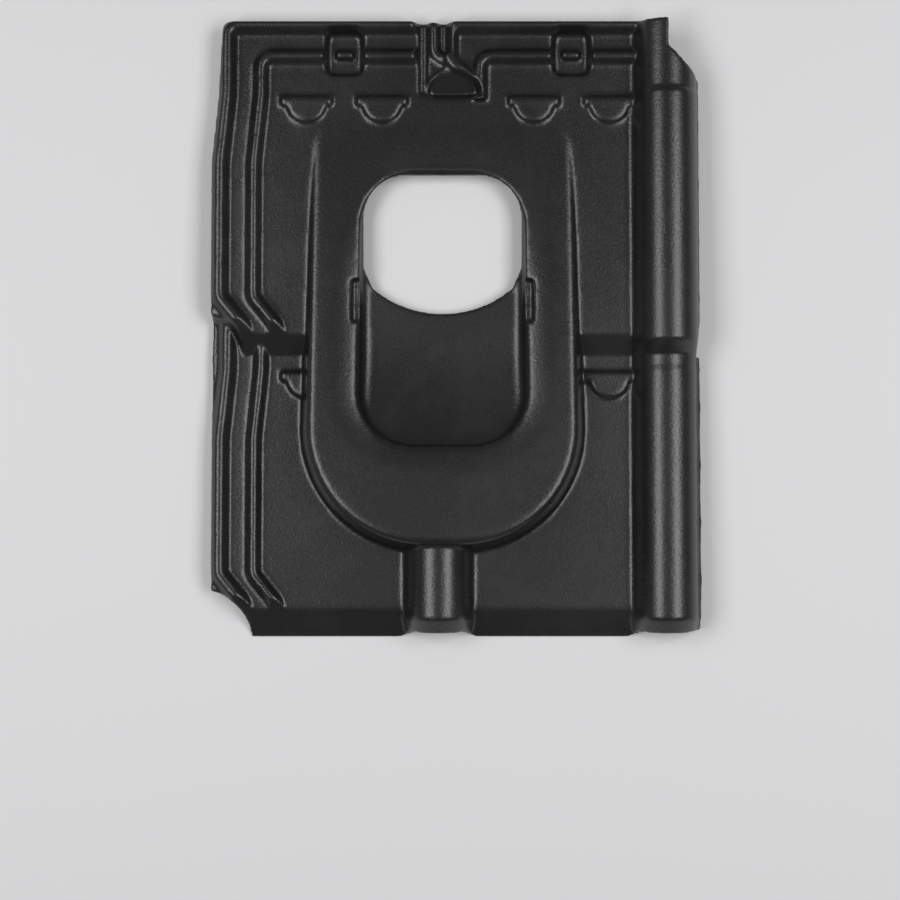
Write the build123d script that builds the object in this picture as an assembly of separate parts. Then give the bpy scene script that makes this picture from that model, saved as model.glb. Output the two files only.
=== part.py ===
from build123d import *
import os
from math import atan, cos, degrees, radians, sin, tan

# Roof vent tile: one moulded sheet that takes the place of four pan tiles,
# two wide and two courses deep, with a raised dome round a pipe opening.
# The sheet is the space between two forms, its face and its underside. Every
# feature is drawn once and takes `skin`: 0 for the face, SHEET for the underside.
# X runs across the roof, Y up to the ridge and Z out of the roof.

# Sheet and tile grid
SHEET = 3.0
COVER_WIDTH = 229.0
COURSE_PITCH = 277.0
STEP_HEIGHT = 15.0
RIGHT_ROLL_X = 212.0
UPPER_NOSING_Y = -6.5
HEAD_LENGTH = 314.5
HEAD_COVER = 73.5
TILE_MIDDLE = 134.0

# Lip at the lower end of each course
LIP_RUN = 23.0
LIP_SINK = 1.0
NOSING_RADIUS = 10.0
LIP_FOOT_RADIUS = 8.0

# Rolls that cover the joint between two tiles
ROLL_HEIGHT = 33.0
ROLL_RADIUS = 30.0
ROLL_FLANK = 65.0
ROLL_FOOT_RADIUS = 7.0
ROLL_OUTER_FLANK = 76.0
ROLL_EDGE_HEIGHT = 2.0
ROLL_EDGE_RADIUS = 2.0
ROLL_OVERRUN = 8.0
ROLL_LIP_RUN = 14.0
ROLL_HEADLAP_DROP = 2.5
CENTRE_ROLL_LENGTH = 110.0

# Water ribs along the head and the left side of each tile
RIB_HEIGHT = 8.0
RIB_CREST = 4.4
OUTER_RIB_HEIGHT = 9.5
OUTER_RIB_CREST = 5.5
RIB_DRAFT = 38.0
RIB_CREST_RADIUS = 3.5
RIB_BEND_RADIUS = 12.0
OUTER_RIB_INSET = 9.5
INNER_RIB_INSET = 43.5
RIB_HEAD_SHIFT = 7.0
RIB_SHIFT_LENGTH = 70.0
HEAD_RIB_DEPTH = 2.5
HEAD_RIB_PITCH = 32.0
KNEE_HEIGHT = 36.0
KNEE_RUN = 22.0
KNEE_DROP = 27.0
KNEE_TAIL = 8.0

# Seam at the head between the two upper tiles
SEAM_RIB_HEIGHT = 4.5
SEAM_RIB_OFFSET = -5.0
SEAM_RIB_LENGTH = 32.0
SEAM_LEFT_GROOVE = -15.5
SEAM_RIGHT_GROOVE = 4.0
SEAM_GROOVE_WIDTH = 10.0
SEAM_GROOVE_DEPTH = 4.0
SEAM_GROOVE_DRAFT = 30.0
SEAM_RIGHT_LENGTH = 33.0
RIGHT_OUTER_RIB_INSET = 10.5
RIGHT_INNER_RIB_INSET = 41.5
RIB_TURN_DOWN = 4.0
RIB_TURN_END = 6.0

# Hanging lugs pressed down through the head ribs
LUG_WIDTH = 39.0
LUG_LENGTH = 47.0
LUG_DEPTH = 13.0
LUG_DRAFT = 9.0
LUG_CORNER = 9.0
LUG_FLOOR_CHAMFER = 3.0
LUG_HEAD_GAP = 6.5
LUG_KEY_WIDTH = 21.0
LUG_KEY_LENGTH = 11.0
LUG_KEY_HEIGHT = 6.0
LUG_KEY_DRAFT = 25.0

# Stops that the course above rests against
STOP_WIDTH = 43.0
STOP_LENGTH = 30.0
STOP_HEIGHT = 4.5
STOP_DRAFT = 35.0
STOP_BAR_WIDTH = 55.0
STOP_BAR_LENGTH = 13.0
STOP_BAR_HEIGHT = 5.0
STOP_SPACING = 76.0

# Dome
DOME_X = -13.0
DOME_HEIGHT = 40.0
DOME_FOOT_Y = -215.5
DOME_FADE_Y = 206.5
DOME_HEAD_Y = 216.5
DOME_HALF_WIDTH = 134.5
DOME_HEAD_HALF_WIDTH = 117.0
DOME_CORNER = 112.0
DOME_HEAD_CORNER = 40.0
DOME_DRAFT = 15.0
DOME_EDGE_RADIUS = 8.0

# Well in the dome, with a ramp up to its lower end
WELL_HALF_WIDTH = 85.0
WELL_HEAD_Y = 160.5
WELL_FOOT_Y = -120.5
WELL_HEAD_CORNER = 58.0
WELL_FOOT_CORNER = 56.0
WELL_DRAFT = 4.0
WELL_FLOOR_DEPTH = 13.0
WELL_RAMP_Y = -8.0
WELL_RAMP_RADIUS = 222.0
WELL_RAMP_ARC = 50.0
WELL_FLOOR_RADIUS = 12.0
WELL_RIM_RADIUS = 5.0

# Pipe opening at the upper end of the well
PIPE_HALF_WIDTH = 79.0
PIPE_HEAD_Y = 152.5
PIPE_SIDE_Y = 60.0
PIPE_FOOT_Y = 14.0
PIPE_CORNER = 43.0
PIPE_FOOT_HALF_WIDTH = 70.0
PIPE_FOOT_SAG = 26.0

# Notches in the sides of the well rim that hold a cover
NOTCH_LENGTH = 43.0
NOTCH_REACH = 6.0
NOTCH_DEPTH = 8.0
NOTCH_Y = 26.0

# Scoop below the seam: a half-round bank with a hollow whose floor falls to its straight side
SCOOP_OFFSET = 16.5
SCOOP_RADIUS = 26.0
SCOOP_BANK_WIDTH = 4.5
SCOOP_BANK_HEIGHT = 6.0
SCOOP_BANK_DRAFT = 38.0
SCOOP_DRAFT = 20.0
SCOOP_FLOOR_HEAD = 4.5
SCOOP_FLOOR_TAIL = -3.5

# Trimmed outline, seen square to the roof
LEFT_EDGE = -245.5
RIGHT_EDGE = 247.0
HEAD_EDGE_INSET = 11.0
HEAD_CHAMFER = 4.0
PAN_EDGE_RUN = 29.0
ROLL_EDGE_RUN = 22.0
ROLL_EDGE_WIDTH = 48.0
ROLL_EDGE_TURN = 14.0
CORNER_CUT_RADIUS = 49.0
CORNER_CUT_OFFSET = 10.0
CORNER_CUT_DRAFT = 25.0
HEAD_CORNER_LENGTH = 60.0
HEAD_CORNER_TURN = 32.0
SIDE_NOTCH_DEPTH = 5.0
SIDE_NOTCH_LENGTH = 17.0
UPPER_EDGE_INSET = 2.0

# Room for the forms to reach past the trimmed outline, and into each other.
# Ribs, stops and the bank are rooted below the floor of the grooves that they cross.
MARGIN = 15.0
SUNK = 2.0
ROOT = SEAM_GROOVE_DEPTH + SUNK
BASE = 70.0

course_slope = degrees(atan(STEP_HEIGHT / COURSE_PITCH))
lower_nosing_y = UPPER_NOSING_Y - COURSE_PITCH
centre_roll_x = RIGHT_ROLL_X - COVER_WIDTH
left_line = RIGHT_ROLL_X - 2 * COVER_WIDTH
tile_lines = (left_line, centre_roll_x)
headlap = HEAD_LENGTH - HEAD_COVER
head_y = UPPER_NOSING_Y + HEAD_LENGTH
head_rib_y = HEAD_LENGTH - HEAD_RIB_DEPTH
form_width = RIGHT_EDGE - LEFT_EDGE + 2 * MARGIN
form_middle = (RIGHT_EDGE + LEFT_EDGE) / 2


def foot_inset(skin, draft):
    """How far a drafted wall of the underside stands inside the same wall of the face."""
    return skin * tan(radians(45 - draft / 2))


def spread(height, draft):
    """How far a drafted wall leans over a height."""
    return height * tan(radians(draft))


def rounded_outline(points, radii):
    """A closed outline with one radius for each corner."""
    return make_face(FilletPolyline(*points, radius=radii, close=True))


def raised(outline, height, draft, skin):
    """A drafted form that stands on the pan."""
    reach = spread(ROOT, draft) - foot_inset(skin, draft)
    grown = offset(outline, reach, kind=Kind.INTERSECTION)
    return extrude(Pos(0, 0, -skin - ROOT) * grown, height + ROOT, taper=draft)


# Pan of one course, drawn flat with its nosing on the X axis
lip_angle = atan((STEP_HEIGHT + LIP_SINK) / LIP_RUN)
lip_plane = Plane(
    origin=(form_middle, 0, 0), x_dir=(1, 0, 0), z_dir=(0, -sin(lip_angle), cos(lip_angle))
)


def pan_form(skin):
    shift = skin * tan(lip_angle / 2)
    low = -STEP_HEIGHT - LIP_SINK - skin
    head = HEAD_LENGTH + MARGIN
    tail = -LIP_RUN - 2 * MARGIN
    top = FilletPolyline(
        (head, -skin),
        (shift, -skin),
        (shift - LIP_RUN, low),
        (tail, low),
        radius=(NOSING_RADIUS - skin, LIP_FOOT_RADIUS + skin),
    )
    sides = Polyline((tail, low), (tail, -BASE - skin), (head, -BASE - skin), (head, -skin))
    profile = make_face(Curve() + [top, sides])
    width = form_width + 2 * skin
    start = Plane.YZ.offset(form_middle - width / 2)
    return extrude(start * profile, width)


# Rolls
def roll_flank(radius, flank, foot_level, centre, foot_radius):
    """One side of a roll: straight flank from the crown arc, fillet and foot."""
    edge = (radius * sin(radians(flank)), centre + radius * cos(radians(flank)))
    foot = edge[0] + (edge[1] - foot_level) / tan(radians(flank))
    reach = foot + 2 * MARGIN
    return FilletPolyline(edge, (foot, foot_level), (reach, foot_level), radius=foot_radius)


def roll_section(skin, drop, foot_drop, is_edge_roll):
    """The outline of a roll, with the foot of its flanks foot_drop below the pan."""
    radius = ROLL_RADIUS - skin
    crown = ROLL_HEIGHT - drop - skin
    centre = crown - radius
    foot_level = -foot_drop - skin
    inner = roll_flank(radius, ROLL_FLANK, foot_level, centre, ROLL_FOOT_RADIUS + skin)
    left = mirror(inner, Plane.YZ)
    right = inner
    if is_edge_roll:
        edge_level = ROLL_EDGE_HEIGHT - drop - skin
        right = roll_flank(radius, ROLL_OUTER_FLANK, edge_level, centre, ROLL_EDGE_RADIUS + skin)
    arc = ThreePointArc(left @ 0, (0, crown), right @ 0)
    low = foot_level - SUNK - drop
    ends = Polyline(left @ 1, ((left @ 1).X, low), ((right @ 1).X, low), right @ 1)
    return make_face(Curve() + [left, arc, right, ends])


def roll_length(section, x, head, tail):
    return extrude(Plane.XZ.offset(-head) * Pos(x, 0) * section, head - tail)


def roll_lip(skin, x, is_edge_roll):
    """The end of a roll: its section slid down the step, and on over the course below."""
    drop = STEP_HEIGHT + LIP_SINK
    section = roll_section(skin, 0, drop + SUNK, is_edge_roll)
    slide = Vector(0, -ROLL_LIP_RUN, -drop)
    start = skin * tan(atan(drop / ROLL_LIP_RUN) / 2) - ROLL_OVERRUN
    placed = Plane.XZ.offset(-start) * Pos(x, 0) * section
    low = Pos(0, -ROLL_LIP_RUN, -drop) * placed
    return extrude(placed, slide.length, dir=slide) + extrude(low, ROLL_EDGE_RUN + MARGIN)


def roll_form(skin, x, head, is_edge_roll):
    """A roll: the lip at its end, the exposed length and the lower headlap."""
    exposed = min(head, headlap - skin)
    lip = roll_lip(skin, x, is_edge_roll)
    overrun = roll_section(skin, 0, STEP_HEIGHT + 2 * LIP_SINK, is_edge_roll)
    roll = roll_length(roll_section(skin, 0, 0, is_edge_roll), x, exposed, NOSING_RADIUS / 2)
    roll += [roll_length(overrun, x, NOSING_RADIUS, -ROLL_OVERRUN), lip]
    if head > headlap:
        section = roll_section(skin, ROLL_HEADLAP_DROP, 0, is_edge_roll)
        roll += roll_length(section, x, head, exposed - SUNK)
    return roll


# Water ribs and the seam between the heads of the upper tiles
def rib_section(skin, height, crest):
    """A drafted rib on a root with upright sides."""
    half_crest = crest / 2 - foot_inset(skin, RIB_DRAFT)
    half_foot = half_crest + spread(height, RIB_DRAFT)
    left = ((-half_foot, -skin - ROOT), (-half_foot, -skin), (-half_crest, height - skin))
    right = ((half_crest, height - skin), (half_foot, -skin), (half_foot, -skin - ROOT))
    section = Polygon(*left, *right, align=None)
    if skin:
        return section
    return fillet(section.vertices().group_by(Axis.Y)[-1], RIB_CREST_RADIUS)


def rib_form(skin, points, height=RIB_HEIGHT, crest=RIB_CREST):
    """A rib swept along a path with rounded bends, ending flush with the lip."""
    path = FilletPolyline(*points, radius=RIB_BEND_RADIUS)
    heading = path % 0
    start = Plane(origin=path @ 0, x_dir=Vector(0, 0, 1).cross(heading), z_dir=heading)
    rib = sweep(start * rib_section(skin, height, crest), path=path)
    return split(rib, lip_plane.offset(-skin), keep=Keep.BOTTOM)


def side_rib_path(x, y):
    """Along the head of the left tile, down its side and across at the knee."""
    return (
        (centre_roll_x + SEAM_LEFT_GROOVE - SEAM_GROOVE_WIDTH / 2, y),
        (x + RIB_HEAD_SHIFT, y),
        (x + RIB_HEAD_SHIFT, headlap),
        (x, headlap - RIB_SHIFT_LENGTH),
        (x, KNEE_HEIGHT),
        (x + KNEE_RUN, KNEE_HEIGHT - KNEE_DROP),
        (x + KNEE_RUN + KNEE_TAIL, -2 * NOSING_RADIUS),
    )


def left_tile_ribs(skin):
    outer = side_rib_path(left_line + OUTER_RIB_INSET, head_rib_y)
    inner = side_rib_path(left_line + INNER_RIB_INSET, head_rib_y - HEAD_RIB_PITCH)
    return [rib_form(skin, outer, OUTER_RIB_HEIGHT, OUTER_RIB_CREST), rib_form(skin, inner)]


def right_tile_ribs(skin):
    """The ribs of the right tile are seen only at its head, where they turn down beside the scoop."""
    outer_x = centre_roll_x + RIGHT_OUTER_RIB_INSET
    inner_x = centre_roll_x + RIGHT_INNER_RIB_INSET
    right = RIGHT_ROLL_X - ROLL_RADIUS
    inner_y = head_rib_y - HEAD_RIB_PITCH
    outer = (
        (right, head_rib_y),
        (outer_x, head_rib_y),
        (outer_x, inner_y - RIB_TURN_DOWN),
        (inner_x - skin, headlap + RIB_TURN_END + skin),
    )
    inner = ((right, inner_y), (inner_x, inner_y), (inner_x, headlap - RIB_TURN_END + skin))
    return [rib_form(skin, outer, OUTER_RIB_HEIGHT, OUTER_RIB_CREST), rib_form(skin, inner)]


def seam_rib(skin):
    x = centre_roll_x + SEAM_RIB_OFFSET
    end_x = centre_roll_x + RIGHT_OUTER_RIB_INSET
    end_y = head_rib_y - HEAD_RIB_PITCH - 2 * RIB_TURN_DOWN
    points = (
        (x, HEAD_LENGTH + MARGIN),
        (x, HEAD_LENGTH - SEAM_RIB_LENGTH),
        (end_x - skin, end_y + skin),
    )
    return rib_form(skin, points, SEAM_RIB_HEIGHT)


def seam_groove(skin, x, tail):
    """A groove in the pan, open at the head edge."""
    half = SEAM_GROOVE_WIDTH / 2 + foot_inset(skin, SEAM_GROOVE_DRAFT)
    top = OUTER_RIB_HEIGHT + SUNK
    half_top = half + spread(top + skin, SEAM_GROOVE_DRAFT)
    half_floor = half - spread(SEAM_GROOVE_DEPTH, SEAM_GROOVE_DRAFT)
    floor = -SEAM_GROOVE_DEPTH - skin
    section = Polygon(
        (-half_top, top), (-half_floor, floor), (half_floor, floor), (half_top, top), align=None
    )
    head = HEAD_LENGTH + MARGIN + skin
    return extrude(Plane.XZ.offset(-head) * Pos(x, 0) * section, head - tail + skin)


# Lugs, stops and scoop
def lug_pocket(skin):
    """The space pressed down into a lug, open at the top."""
    top = OUTER_RIB_HEIGHT + SUNK
    grown = spread(top + skin, LUG_DRAFT) + foot_inset(skin, LUG_DRAFT)
    mouth = RectangleRounded(LUG_WIDTH + 2 * grown, LUG_LENGTH + 2 * grown, LUG_CORNER + grown)
    pocket = extrude(Pos(0, 0, top) * mouth, -(top + LUG_DEPTH + skin), taper=LUG_DRAFT)
    return chamfer(pocket.edges().group_by(Axis.Z)[0], LUG_FLOOR_CHAMFER + skin / 2)


def lug_key(skin):
    """The raised key on the floor of a lug."""
    grown = spread(SUNK, LUG_KEY_DRAFT) - foot_inset(skin, LUG_KEY_DRAFT)
    key = Rectangle(LUG_KEY_WIDTH + 2 * grown, LUG_KEY_LENGTH + 2 * grown)
    low = -LUG_DEPTH - skin - SUNK
    return extrude(Pos(0, 0, low) * key, LUG_KEY_HEIGHT + SUNK, taper=LUG_KEY_DRAFT)


def stop_form(skin):
    """A D-shaped stop with a bar along its straight side."""
    half = STOP_WIDTH / 2
    straight = half - STOP_LENGTH
    sides = Polyline((-half, straight), (-half, 0), (half, 0), (half, straight))
    bow = ThreePointArc((-half, straight), (0, -STOP_LENGTH), (half, straight))
    shape = make_face(Curve() + [sides, bow])
    bar = Pos(0, -STOP_BAR_LENGTH / 2) * Rectangle(STOP_BAR_WIDTH, STOP_BAR_LENGTH)
    return raised(shape, STOP_HEIGHT, STOP_DRAFT, skin) + raised(
        bar, STOP_BAR_HEIGHT, STOP_DRAFT, skin
    )


def stops(skin):
    stop = stop_form(skin)
    placed = []
    for line in tile_lines:
        for side in (-1, 1):
            x = line + TILE_MIDDLE + side * STOP_SPACING / 2
            placed.append(Pos(x, headlap) * stop)
    return placed


def scoop_bank(skin):
    outline = Circle(SCOOP_RADIUS + SCOOP_BANK_WIDTH)
    bank = raised(outline, SCOOP_BANK_HEIGHT, SCOOP_BANK_DRAFT, skin)
    head_half = split(bank, Plane.XZ.offset(-skin), keep=Keep.BOTTOM)
    return Pos(centre_roll_x + SCOOP_OFFSET, headlap) * head_half


def scoop_space(skin):
    """The hollow in the bank, open at the top."""
    top = SCOOP_BANK_HEIGHT + SUNK
    radius = SCOOP_RADIUS + foot_inset(skin, SCOOP_DRAFT)
    fall = (SCOOP_FLOOR_HEAD - SCOOP_FLOOR_TAIL) / SCOOP_RADIUS
    head = radius + MARGIN
    head_floor = SCOOP_FLOOR_TAIL + fall * head - skin
    profile = Polygon(
        (-skin, SCOOP_FLOOR_TAIL - skin), (head, head_floor), (head, top), (-skin, top), align=None
    )
    block = extrude(Plane.YZ.offset(-head) * profile, 2 * head)
    low = SCOOP_FLOOR_TAIL - skin - SUNK
    start = Pos(0, 0, low) * Circle(radius + spread(low, SCOOP_DRAFT))
    cone = extrude(start, top + MARGIN - low, taper=-SCOOP_DRAFT)
    return Pos(centre_roll_x + SCOOP_OFFSET, headlap) * (block & cone)


# Courses, placed on the roof slope
def corner_cut(skin):
    """The round cut at the lower left corner of a tile."""
    radius = CORNER_CUT_RADIUS + skin / cos(radians(CORNER_CUT_DRAFT))
    low = 2 * STEP_HEIGHT
    start = Pos(LEFT_EDGE - CORNER_CUT_OFFSET, -PAN_EDGE_RUN, -low)
    circle = Circle(radius - spread(low, CORNER_CUT_DRAFT))
    return extrude(start * circle, 2 * low, taper=-CORNER_CUT_DRAFT)


def place_course(course, nosing_y):
    return Pos(0, nosing_y, 0) * Rot(-course_slope, 0, 0) * course


def upper_course(skin):
    course = pan_form(skin) + scoop_bank(skin) - scoop_space(skin)
    course += left_tile_ribs(skin) + right_tile_ribs(skin)
    course += roll_form(skin, RIGHT_ROLL_X, HEAD_LENGTH + MARGIN + skin, True)
    course -= seam_groove(skin, centre_roll_x + SEAM_LEFT_GROOVE, headlap)
    course -= seam_groove(skin, centre_roll_x + SEAM_RIGHT_GROOVE, HEAD_LENGTH - SEAM_RIGHT_LENGTH)
    course += [seam_rib(skin)] + stops(skin)
    lug_y = HEAD_LENGTH - LUG_HEAD_GAP - LUG_LENGTH / 2
    pocket = lug_pocket(skin)
    key = lug_key(skin)
    for line in tile_lines:
        place = Pos(line + TILE_MIDDLE, lug_y)
        course = course - place * pocket + place * key
    course -= corner_cut(skin)
    return place_course(course, UPPER_NOSING_Y)


def lower_course(skin):
    course = pan_form(skin) + left_tile_ribs(skin) + stops(skin)
    course += roll_form(skin, RIGHT_ROLL_X, HEAD_LENGTH + MARGIN + skin, True)
    course += roll_form(skin, centre_roll_x, CENTRE_ROLL_LENGTH, False)
    return place_course(course, lower_nosing_y)


# Dome, well and pipe opening
def pan_level(y, nosing_y):
    return -(y - nosing_y) * tan(radians(course_slope))


dome_foot_level = pan_level(DOME_FOOT_Y, lower_nosing_y) + DOME_HEIGHT
dome_fade_level = pan_level(DOME_FADE_Y, UPPER_NOSING_Y)
dome_slope = degrees(atan((dome_foot_level - dome_fade_level) / (DOME_FADE_Y - DOME_FOOT_Y)))
dome_plane = Plane(
    origin=(DOME_X, DOME_FOOT_Y, dome_foot_level),
    x_dir=(1, 0, 0),
    z_dir=(0, sin(radians(dome_slope)), cos(radians(dome_slope))),
)


def dome_form(skin):
    shape = rounded_outline(
        (
            (-DOME_HALF_WIDTH, DOME_FOOT_Y),
            (DOME_HALF_WIDTH, DOME_FOOT_Y),
            (DOME_HEAD_HALF_WIDTH, DOME_HEAD_Y),
            (-DOME_HEAD_HALF_WIDTH, DOME_HEAD_Y),
        ),
        (DOME_CORNER, DOME_CORNER, DOME_HEAD_CORNER, DOME_HEAD_CORNER),
    )
    shape = offset(shape, -skin / cos(radians(DOME_DRAFT)))
    depth = dome_foot_level - dome_fade_level + MARGIN
    dome = extrude(Pos(DOME_X, 0, dome_foot_level) * shape, -depth, taper=-DOME_DRAFT)
    dome = split(dome, dome_plane.offset(-skin), keep=Keep.BOTTOM)
    top = dome.faces().sort_by(Axis.Z)[-1]
    return fillet(top.edges(), DOME_EDGE_RADIUS - skin)


def well_space(skin):
    """The space of the well, from well above its rim down to its floor."""
    mouth_level = dome_foot_level + MARGIN
    shape = rounded_outline(
        (
            (-WELL_HALF_WIDTH, WELL_FOOT_Y),
            (WELL_HALF_WIDTH, WELL_FOOT_Y),
            (WELL_HALF_WIDTH, WELL_HEAD_Y),
            (-WELL_HALF_WIDTH, WELL_HEAD_Y),
        ),
        (WELL_FOOT_CORNER, WELL_FOOT_CORNER, WELL_HEAD_CORNER, WELL_HEAD_CORNER),
    )
    shape = offset(shape, spread(MARGIN, WELL_DRAFT) + skin / cos(radians(WELL_DRAFT)))
    floor_level = -WELL_FLOOR_DEPTH - skin
    walls = extrude(
        Pos(DOME_X, 0, mouth_level) * shape, -(mouth_level - floor_level + SUNK), taper=WELL_DRAFT
    )
    head = WELL_HEAD_Y + 2 * MARGIN
    ramp = JernArc((WELL_RAMP_Y, floor_level), (-1, 0), WELL_RAMP_RADIUS + skin, -WELL_RAMP_ARC)
    end = ramp @ 1
    rest = Polyline(
        end,
        (end.X, mouth_level + MARGIN),
        (head, mouth_level + MARGIN),
        (head, floor_level),
        (WELL_RAMP_Y, floor_level),
    )
    floor_profile = make_face(Curve() + [ramp, rest])
    start = Plane.YZ.offset(DOME_X - 2 * WELL_HALF_WIDTH)
    space = walls & extrude(start * floor_profile, 4 * WELL_HALF_WIDTH)
    floors = space.faces().filter_by(is_well_floor)
    edges = [edge for face in floors for edge in face.edges()]
    return fillet([edge for edge in edges if not is_ramp_start(edge)], WELL_FLOOR_RADIUS + skin)


def is_well_floor(face):
    """The floor and the ramp face down out of the space, the walls do not."""
    return face.normal_at().get_angle(Vector(0, 0, -1)) < WELL_RAMP_ARC


def is_ramp_start(edge):
    """The line across the floor where the ramp begins."""
    return edge.geom_type == GeomType.LINE and edge.length > WELL_HALF_WIDTH


def notch_spaces(skin):
    """Notches pressed into both sides of the rim, square to the dome."""
    half = WELL_HALF_WIDTH + NOTCH_REACH + skin
    level = (DOME_FOOT_Y - NOTCH_Y) / cos(radians(dome_slope))
    block = Box(2 * half, NOTCH_LENGTH + 2 * skin, NOTCH_DEPTH + skin + MARGIN)
    return dome_plane * Pos(0, -level, (MARGIN - NOTCH_DEPTH - skin) / 2) * block


def pipe_space():
    side = PIPE_HALF_WIDTH
    foot = PIPE_FOOT_HALF_WIDTH
    sag_y = PIPE_FOOT_Y + PIPE_FOOT_SAG
    top = FilletPolyline(
        (-side, PIPE_SIDE_Y),
        (-side, PIPE_HEAD_Y),
        (side, PIPE_HEAD_Y),
        (side, PIPE_SIDE_Y),
        radius=PIPE_CORNER,
    )
    bottom = ThreePointArc((-foot, sag_y), (0, PIPE_FOOT_Y), (foot, sag_y))
    ends = [Line((-side, PIPE_SIDE_Y), (-foot, sag_y)), Line((foot, sag_y), (side, PIPE_SIDE_Y))]
    outline = make_face(Curve() + [top, bottom] + ends)
    return extrude(Pos(DOME_X, 0, -BASE - MARGIN) * outline, 2 * BASE)


def form(skin):
    """Everything below the face of the sheet, or below its underside."""
    whole = upper_course(skin) + lower_course(skin) + dome_form(skin)
    whole -= well_space(skin)
    plateau = whole.faces().filter_by(GeomType.PLANE).filter_by(lambda face: is_plateau(face, skin))
    rim = [edge for face in plateau for wire in face.inner_wires() for edge in wire.edges()]
    whole = fillet(rim, WELL_RIM_RADIUS - skin)
    return whole - notch_spaces(skin)


def is_plateau(face, skin):
    middle = face.center()
    return abs(dome_plane.offset(-skin).to_local_coords(middle).Z) < SUNK / 10


# Trimmed outline
def trim_outline():
    tail = lower_nosing_y - PAN_EDGE_RUN
    roll_tail = lower_nosing_y - ROLL_EDGE_RUN
    half = ROLL_EDGE_WIDTH / 2
    turn = half + ROLL_EDGE_TURN
    right_head = head_y - HEAD_CORNER_LENGTH
    cut_y = tail + CORNER_CUT_RADIUS
    cut_x = LEFT_EDGE - CORNER_CUT_OFFSET + CORNER_CUT_RADIUS
    points = [
        (LEFT_EDGE - CORNER_CUT_OFFSET, tail),
        (centre_roll_x - turn, tail),
        (centre_roll_x - half, roll_tail),
        (centre_roll_x + half, roll_tail),
        (centre_roll_x + turn, tail),
        (RIGHT_ROLL_X - turn, tail),
        (RIGHT_ROLL_X - half, roll_tail),
        (RIGHT_EDGE, roll_tail),
        (RIGHT_EDGE, UPPER_NOSING_Y - LIP_RUN),
        (RIGHT_EDGE - SIDE_NOTCH_DEPTH, UPPER_NOSING_Y - LIP_RUN),
        (RIGHT_EDGE - SIDE_NOTCH_DEPTH, UPPER_NOSING_Y - LIP_RUN + SIDE_NOTCH_LENGTH),
        (RIGHT_EDGE - UPPER_EDGE_INSET, UPPER_NOSING_Y - LIP_RUN + 2 * SIDE_NOTCH_LENGTH),
        (RIGHT_EDGE - UPPER_EDGE_INSET, right_head),
        (RIGHT_ROLL_X, right_head + HEAD_CORNER_TURN),
        (RIGHT_ROLL_X, head_y),
        (LEFT_EDGE + HEAD_EDGE_INSET + HEAD_CHAMFER, head_y),
        (LEFT_EDGE + HEAD_EDGE_INSET, head_y - HEAD_CHAMFER),
        (LEFT_EDGE + HEAD_EDGE_INSET - HEAD_CHAMFER, UPPER_NOSING_Y + headlap),
        (LEFT_EDGE, UPPER_NOSING_Y + headlap - RIB_SHIFT_LENGTH),
        (LEFT_EDGE, cut_y),
    ]
    outline = make_face(Polyline(*points, close=True))
    corner = Pos(LEFT_EDGE - CORNER_CUT_OFFSET, tail) * Circle(CORNER_CUT_RADIUS)
    return outline - corner


def roof_point(y, z, nosing_y):
    """A point of a flat course, as (y, z) on the roof slope."""
    lean = radians(course_slope)
    return nosing_y + y * cos(lean) + z * sin(lean), z * cos(lean) - y * sin(lean)


def rest_angle():
    """How far the tile turns from the roof slope to lie on its lugs and its lower edge."""
    lug_head = HEAD_LENGTH - LUG_HEAD_GAP - LUG_FLOOR_CHAMFER
    lug_y, lug_z = roof_point(lug_head, -LUG_DEPTH - SHEET, UPPER_NOSING_Y)
    edge_low = -STEP_HEIGHT - LIP_SINK - SHEET
    edge_y, edge_z = roof_point(-PAN_EDGE_RUN, edge_low, lower_nosing_y)
    return degrees(atan((edge_z - lug_z) / (lug_y - edge_y)))


def vent_tile():
    sheet = form(0) - form(SHEET)
    sheet -= pipe_space()
    sheet &= extrude(Pos(0, 0, -BASE - MARGIN) * trim_outline(), 3 * BASE)
    lying = Rot(rest_angle(), 0, 0) * sheet
    box = lying.bounding_box()
    return Pos(-box.center().X, -box.center().Y, -box.min.Z) * lying


os.makedirs("parts", exist_ok=True)
export_step(vent_tile(), "parts/vent_tile_plate.step")
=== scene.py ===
# %% [markdown]
# # Roof vent tile
# This file dresses one moulded roof tile for a picture. The tile is a black plastic sheet,
# pressed to the shape of four pan tiles, with a raised dome and a well for a vent pipe.
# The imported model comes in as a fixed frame, and everything here is in metres in that frame.

# %% Load the frame
import bpy
from math import hypot, radians, tan
from mathutils import Matrix, Vector


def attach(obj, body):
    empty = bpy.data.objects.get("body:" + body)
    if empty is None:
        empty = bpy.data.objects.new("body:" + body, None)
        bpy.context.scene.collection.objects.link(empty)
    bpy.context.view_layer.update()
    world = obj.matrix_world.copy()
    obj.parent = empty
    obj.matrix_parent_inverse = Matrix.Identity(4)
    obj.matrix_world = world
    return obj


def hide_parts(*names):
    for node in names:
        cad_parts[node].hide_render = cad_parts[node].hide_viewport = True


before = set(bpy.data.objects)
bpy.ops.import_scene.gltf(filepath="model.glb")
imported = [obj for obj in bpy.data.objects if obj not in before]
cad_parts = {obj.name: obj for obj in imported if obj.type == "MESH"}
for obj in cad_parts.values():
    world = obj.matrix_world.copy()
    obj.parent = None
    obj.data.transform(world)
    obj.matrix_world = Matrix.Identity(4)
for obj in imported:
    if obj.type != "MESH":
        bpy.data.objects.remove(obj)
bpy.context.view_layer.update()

# %% [markdown]
# ## The camera
# The tile is seen square to its roof plane, from a couple of metres, and it fills the upper
# part of the picture. The camera could be turned toward the tile, but that would make the
# far course smaller, so it stands over the middle of the picture and looks straight down.
# The tile lies on its lugs and its lower edge, so its roof plane leans by about a degree.
# The camera's points are given on that roof plane and then turned with it.

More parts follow.
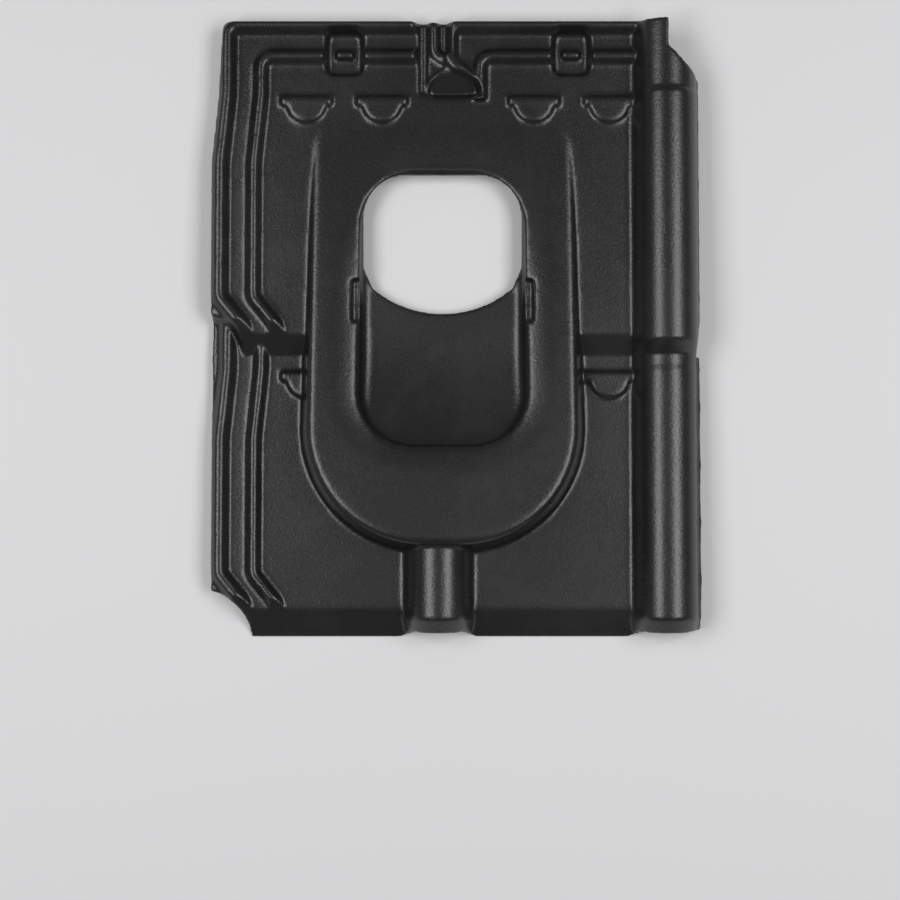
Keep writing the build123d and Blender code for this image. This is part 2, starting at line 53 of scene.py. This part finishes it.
# %% Camera
ROOF_LEAN = radians(1.413)
ROOF_ORIGIN = Vector((-0.00065, 0.00205, 0.02519))


def on_roof(x, y, z):
    """A point given across, up and out of the roof plane, in the frame of the model."""
    return Matrix.Rotation(ROOF_LEAN, 3, "X") @ (Vector((x, y, z)) + ROOF_ORIGIN)


CAMERA_DISTANCE = 1.8
PICTURE_WIDTH = 0.9
PICTURE_MIDDLE = (-0.0055, -0.1235)
SENSOR_WIDTH = 36
SIGHT_LIMIT = 50

eye = on_roof(*PICTURE_MIDDLE, CAMERA_DISTANCE)
aim = on_roof(*PICTURE_MIDDLE, 0)
camera_data = bpy.data.cameras.new("camera")
camera = bpy.data.objects.new("camera", camera_data)
bpy.context.collection.objects.link(camera)
camera.location = eye
camera.rotation_euler = (aim - eye).to_track_quat("-Z", "Y").to_euler()
camera_data.type = "PERSP"
camera_data.sensor_width = SENSOR_WIDTH
camera_data.lens = SENSOR_WIDTH * (aim - eye).length / PICTURE_WIDTH
camera_data.clip_end = SIGHT_LIMIT
bpy.context.scene.camera = camera
print("lens", round(camera_data.lens, 1))

# %% [markdown]
# ## Light
# The real tile was lit by two big soft boxes, one each side of the camera: every round crown
# carries a pair of broad highlights with a dark line between them. A sun or a point would
# give thin lines, so two long area lamps are used, each turned about the Y axis to lean over
# the tile. Their lean comes from the place of the highlights on the rolls: 10 mm beside the
# top of a crown with a radius of 30 mm means light from about 35 degrees. A weak lamp behind
# the camera lifts the flats a little.

# %% Lamps
BOX_LEAN = radians(35)
BOX_HEIGHT = 1.9
BOX_ALONG = -0.05
BOX_SIZE = (0.95, 1.9)
BOX_POWER = 30
FILL_HEIGHT = 2.4
FILL_ALONG = -0.1
FILL_SIZE = (1.2, 0.9)
FILL_POWER = 1.1


def soft_lamp(name, lean, height, along, size, power):
    """An area lamp over the tile, moved to one side and turned about the Y axis to face it."""
    data = bpy.data.lights.new(name, "AREA")
    data.shape = "RECTANGLE"
    data.size, data.size_y = size
    data.energy = power
    lamp = bpy.data.objects.new(name, data)
    bpy.context.collection.objects.link(lamp)
    lamp.location = (height * tan(lean), along, height)
    lamp.rotation_euler = (0, lean, 0)


soft_lamp("left_box", -BOX_LEAN, BOX_HEIGHT, BOX_ALONG, BOX_SIZE, BOX_POWER)
soft_lamp("right_box", BOX_LEAN, BOX_HEIGHT, BOX_ALONG, BOX_SIZE, BOX_POWER)
soft_lamp("top_fill", 0, FILL_HEIGHT, FILL_ALONG, FILL_SIZE, FILL_POWER)

# %% [markdown]
# ## Shader helper
# Materials below are built from nodes. A small class wraps a socket, so that arithmetic on
# two wrapped sockets adds the Math node that does it, and one method makes any other node.

# %% Shader helper


class Wire:
    """A node socket, or a number, that can be used in sums."""

    def __init__(self, tree, socket):
        self.tree = tree
        self.socket = socket

    def math(self, operation, *values):
        node = self.tree.nodes.new("ShaderNodeMath")
        node.operation = operation
        for slot, value in zip(node.inputs, values):
            if isinstance(value, Wire):
                self.tree.links.new(value.socket, slot)
            else:
                slot.default_value = value
        return Wire(self.tree, node.outputs[0])

    def __add__(self, other):
        return self.math("ADD", self, other)

    def __radd__(self, other):
        return self.math("ADD", other, self)

    def __sub__(self, other):
        return self.math("SUBTRACT", self, other)

    def __mul__(self, other):
        return self.math("MULTIPLY", self, other)


class Finish:
    """A material under construction."""

    def __init__(self, name):
        self.material = bpy.data.materials.new(name)
        self.material.use_nodes = True
        self.tree = self.material.node_tree
        self.shader = self.tree.nodes["Principled BSDF"]
        self.place = self.node("ShaderNodeTexCoord", out="Object")

    def node(self, kind, settings=None, inputs=None, out=0):
        """Any node: its settings first, then the values or links of its sockets."""
        node = self.tree.nodes.new(kind)
        for name, value in (settings or {}).items():
            setattr(node, name, value)
        for name, value in (inputs or {}).items():
            self.put(node.inputs[name], value)
        return Wire(self.tree, node.outputs[out])

    def put(self, slot, value):
        if isinstance(value, Wire):
            self.tree.links.new(value.socket, slot)
        else:
            slot.default_value = value

    def noise(self, scale, detail, roughness):
        inputs = {"Scale": scale, "Detail": detail, "Roughness": roughness}
        return self.node("ShaderNodeTexNoise", inputs={"Vector": self.place, **inputs})

    def between(self, value, low, high):
        """Eases a value from 0 at the low limit to 1 at the high one."""
        inputs = {"Value": value, "From Min": low, "From Max": high}
        return self.node("ShaderNodeMapRange", {"interpolation_type": "SMOOTHSTEP"}, inputs)

    def mix(self, factor, first, second):
        inputs = {"Factor": factor, 6: first, 7: second}
        return self.node("ShaderNodeMix", {"data_type": "RGBA"}, inputs, out=2)

    def surface(self, **values):
        for name, value in values.items():
            self.put(self.shader.inputs[name.replace("_", " ")], value)
        return self.material


# %% [markdown]
# ## The sheet's finish
# The sheet is black plastic with a fine grain from the mould, one to two millimetres across,
# which spreads each highlight into a soft sheen. Handling leaves a faint grey film in patches.
# A picture of plastic could be wrapped on, but it would stretch on the steep walls, so noise
# that reads the object's own coordinates drives the colour, the roughness and the bump.

# %% Black moulded sheet
BLACK = (0.0095, 0.0097, 0.0100, 1)
DUSTY = (0.0200, 0.0205, 0.0210, 1)
GRAIN = {"scale": 420, "detail": 3.0, "roughness": 0.65}
PATCHES = {"scale": 9, "detail": 4.0, "roughness": 0.55}
MOTTLE = {"scale": 60, "detail": 3.0, "roughness": 0.6}
MOTTLE_SHARE = 0.3
DUST_LIMITS = (0.42, 0.68)
DUST_COVER = 0.5
SHEEN = 0.265
DUST_DULLS = 0.03
GRAIN_DULLS = 0.08
GRAIN_MIDDLE = 0.5
GRAIN_STRENGTH = 0.5
GRAIN_HEIGHT = 0.0006
PLASTIC_IOR = 1.56

sheet = Finish("black_moulded_sheet")
grain = sheet.noise(**GRAIN)
patches = sheet.noise(**PATCHES)
mottle = sheet.noise(**MOTTLE)
dust = sheet.between(patches * (1 - MOTTLE_SHARE) + mottle * MOTTLE_SHARE, *DUST_LIMITS)
colour = sheet.mix(dust * DUST_COVER, BLACK, DUSTY)
sheen = SHEEN + dust * DUST_DULLS + (grain - GRAIN_MIDDLE) * GRAIN_DULLS
relief = {"Strength": GRAIN_STRENGTH, "Distance": GRAIN_HEIGHT, "Height": grain}
bump = sheet.node("ShaderNodeBump", inputs=relief)
black_sheet = sheet.surface(Base_Color=colour, Roughness=sheen, Normal=bump, IOR=PLASTIC_IOR)

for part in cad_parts.values():
    part.data.materials.clear()
    part.data.materials.append(black_sheet)

# %% [markdown]
# ## The pressed sheet
# The real sheet is drawn over a mould while it is soft, so its ribs, stops and steps all have
# round edges that run into each other. The CAD solid has small crisp fillets. A bevel modifier
# needs clean edge loops, which a CAD mesh doesn't have, so a copy of the solid gets an even
# net of small faces. Remeshing leaves ripples, so the net is laid back on the solid.

# %% A copy of the solid with an even net
NET = 0.0017
SAME_POINT = 0.00001

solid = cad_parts["vent_tile_plate"]
bpy.ops.object.select_all(action="DESELECT")
solid.select_set(True)
bpy.context.view_layer.objects.active = solid
bpy.ops.object.duplicate()
pressed = bpy.context.active_object
pressed.name = "pressed_sheet"
bpy.ops.object.mode_set(mode="EDIT")
bpy.ops.mesh.select_all(action="SELECT")
bpy.ops.mesh.remove_doubles(threshold=SAME_POINT)
bpy.ops.object.mode_set(mode="OBJECT")


def finish_with(kind, **settings):
    """Adds a modifier to the pressed sheet and applies it."""
    modifier = pressed.modifiers.new(kind.lower(), kind)
    for name, value in settings.items():
        setattr(modifier, name, value)
    bpy.ops.object.modifier_apply(modifier=modifier.name)


finish_with("REMESH", mode="VOXEL", voxel_size=NET)
finish_with("SHRINKWRAP", target=solid, wrap_method="NEAREST_SURFACEPOINT")
print("net of", len(pressed.data.polygons), "faces")

# %% [markdown]
# ## The scoop
# Under the seam at the head, the sheet dips into a half-round scoop that looks almost black,
# because its floor falls steeply toward the straight side and turns away from both lamps. The
# solid has a shallower one. It could be cut out with a boolean, but the sheet has to keep its
# thickness, so the points of its face and its underside are moved down to two parallel planes,
# with a soft edge all round.

# %% Press the scoop
SCOOP_MIDDLE = (-0.0022, 0.2355)
SCOOP_HALF_WIDTH = 0.028
SCOOP_LENGTH = 0.0245
SCOOP_PAN = 0.0180
SCOOP_HEAD_LEVEL = 0.004
SCOOP_TAIL_LEVEL = -0.0105
SCOOP_THICKNESS = 0.0036
SCOOP_EDGE = 0.0025
SCOOP_STEEPNESS = 0.1


def ease(value, low, high):
    """0 below low, 1 above high and a soft step between."""
    part = min(max((value - low) / (high - low), 0.0), 1.0)
    return part * part * (3 - 2 * part)


moved = 0
for point in pressed.data.vertices:
    across = (point.co.x - SCOOP_MIDDLE[0]) / SCOOP_HALF_WIDTH
    up = (point.co.y - SCOOP_MIDDLE[1]) / SCOOP_LENGTH
    inside = ease((1 - hypot(across, up)) * SCOOP_LENGTH, 0, SCOOP_EDGE)
    inside *= ease(up * SCOOP_LENGTH, -SCOOP_EDGE / 2, SCOOP_EDGE / 2)
    if inside > 0 and abs(point.normal.z) > SCOOP_STEEPNESS:
        level = SCOOP_TAIL_LEVEL + (SCOOP_HEAD_LEVEL - SCOOP_TAIL_LEVEL) * max(up, 0)
        target = SCOOP_PAN + level - (SCOOP_THICKNESS if point.normal.z < 0 else 0)
        point.co.z += (target - point.co.z) * inside
        moved += 1
print("scoop points", moved)

# %% [markdown]
# ## The rim of the well
# The dome's flat top rolls gently down to the rim of the well over the last three
# centimetres, less so at the head, and that strip catches the lamps beside the pipe opening.
# In the solid the top stays flat to a small fillet. A larger bevel would change the well's
# size, so the points are lowered instead, by an amount that depends on how far they lie from
# the rim's outline. Inside the outline only the upper part of the wall follows.

# %% Roll the rim down
WELL_MIDDLE = (-0.01365, 0.0210)
WELL_HALF = (0.085, 0.1405)
WELL_CORNER = 0.057
ROLL_DOWN = 0.0040
ROLL_REACH = 0.030
WALL_RANGE = (0.015, 0.040)
HEAD_RANGE = (0.03, 0.12)
HEAD_LOSS = 0.7


def outside_well(place):
    """How far a point lies outside the rim's outline, and below zero inside it."""
    across = abs(place.x - WELL_MIDDLE[0]) - WELL_HALF[0] + WELL_CORNER
    along = abs(place.y - WELL_MIDDLE[1]) - WELL_HALF[1] + WELL_CORNER
    return hypot(max(across, 0), max(along, 0)) + min(max(across, along), 0) - WELL_CORNER


for point in pressed.data.vertices:
    gap = outside_well(point.co)
    if -2 * ROLL_REACH < gap < ROLL_REACH:
        share = (1 - gap / ROLL_REACH) ** 2 if gap > 0 else ease(point.co.z, *WALL_RANGE)
        head_share = 1 - HEAD_LOSS * ease(point.co.y, *HEAD_RANGE)
        point.co.z -= ROLL_DOWN * share * head_share

# %% [markdown]
# ## Relax the net
# A smooth modifier rounds every edge, but it would also eat the rim of the sheet and widen the
# pipe opening. Smoothing heights alone keeps them, but leaves ripples on the slopes. So the
# points of the upright rim faces are left out by a vertex group, and only the closing passes
# move them. The long ramp of the well gets many more passes, which iron out the solid's
# facets. Its group ends short of the pipe opening, because that many passes beside points that
# stay put would leave a ragged edge. A decimate modifier then thins the faces where the sheet
# is nearly flat.

# %% Relax, thin and shade
RIM_STEEPNESS = 0.05
RAMP_ACROSS = (-0.083, 0.056)
RAMP_ALONG = (-0.112, 0.004)
FLOOR_TOP = 0.030
INNER_PASSES = 10
RAMP_PASSES = 40
CLOSING_PASSES = 5
SMOOTHING = 0.5
FACE_LIMIT = 190000


def is_on_ramp(point):
    """The ramp between its side fillets, and all that lies low in the well."""
    along = RAMP_ALONG[0] < point.co.y < RAMP_ALONG[1]
    across = RAMP_ACROSS[0] < point.co.x < RAMP_ACROSS[1]
    low = outside_well(point.co) < 0 and point.co.z < FLOOR_TOP
    return along and (across or low)


inner = [point for point in pressed.data.vertices if abs(point.normal.z) > RIM_STEEPNESS]
pressed.vertex_groups.new(name="inner").add([point.index for point in inner], 1.0, "REPLACE")
on_ramp = [point.index for point in inner if is_on_ramp(point)]
pressed.vertex_groups.new(name="ramp").add(on_ramp, 1.0, "REPLACE")
for group, passes in (("inner", INNER_PASSES), ("ramp", RAMP_PASSES), ("", CLOSING_PASSES)):
    finish_with("SMOOTH", factor=SMOOTHING, iterations=passes, vertex_group=group)
finish_with("DECIMATE", ratio=min(1.0, FACE_LIMIT / (2 * len(pressed.data.polygons))))
bpy.ops.object.shade_smooth()
heights = [point.co.z for point in pressed.data.vertices]
print("pressed sheet", len(pressed.data.polygons), "faces, heights", min(heights), max(heights))

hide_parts("vent_tile_plate")
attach(pressed, "root")

# %% [markdown]
# ## The floor
# A plain pale floor lies under the tile, and keeps its soft shadow. It is a wide plane, and the
# lamps only light its middle. More lamps would wash out the tile, so the far floor and the
# world behind it glow in a pale grey for the camera alone, and light nothing.

# %% Floor
PALE = (0.70, 0.70, 0.71, 1)
NEAR = 0.7
FAR = 3.2
FLOOR_SIZE = 24
FLOOR_ROUGHNESS = 0.8

bpy.ops.object.select_all(action="DESELECT")
bpy.ops.mesh.primitive_plane_add(size=FLOOR_SIZE, location=(0, 0, 0))
floor = bpy.context.active_object
floor.name = "floor"
pale = Finish("pale_floor")
to_camera = pale.node("ShaderNodeLightPath", out="Is Camera Ray")
distance = pale.node("ShaderNodeVectorMath", {"operation": "LENGTH"}, {0: pale.place}, out="Value")
glow = pale.between(distance, NEAR, FAR) * to_camera
pale.surface(Base_Color=PALE, Roughness=FLOOR_ROUGHNESS)
backdrop = pale.node("ShaderNodeEmission", inputs={"Color": PALE, "Strength": 1.0})
lit = Wire(pale.tree, pale.shader.outputs[0])
both = pale.node("ShaderNodeMixShader", inputs={0: glow, 1: lit, 2: backdrop})
pale.put(pale.tree.nodes["Material Output"].inputs["Surface"], both)
floor.data.materials.append(pale.material)

# %% World
WORLD_STRENGTH = 0.17
SEEN_STRENGTH = 0.78
WORLD_COLOUR = (0.9, 0.9, 0.92, 1)

world = bpy.data.worlds.new("soft_studio")
bpy.context.scene.world = world
world.use_nodes = True
background = world.node_tree.nodes["Background"]
background.inputs["Color"].default_value = WORLD_COLOUR
light_path = world.node_tree.nodes.new("ShaderNodeLightPath")
seen = Wire(world.node_tree, light_path.outputs["Is Camera Ray"])
strength = seen * (SEEN_STRENGTH - WORLD_STRENGTH) + WORLD_STRENGTH
world.node_tree.links.new(strength.socket, background.inputs["Strength"])

# %% View
bpy.context.scene.view_settings.view_transform = "Standard"
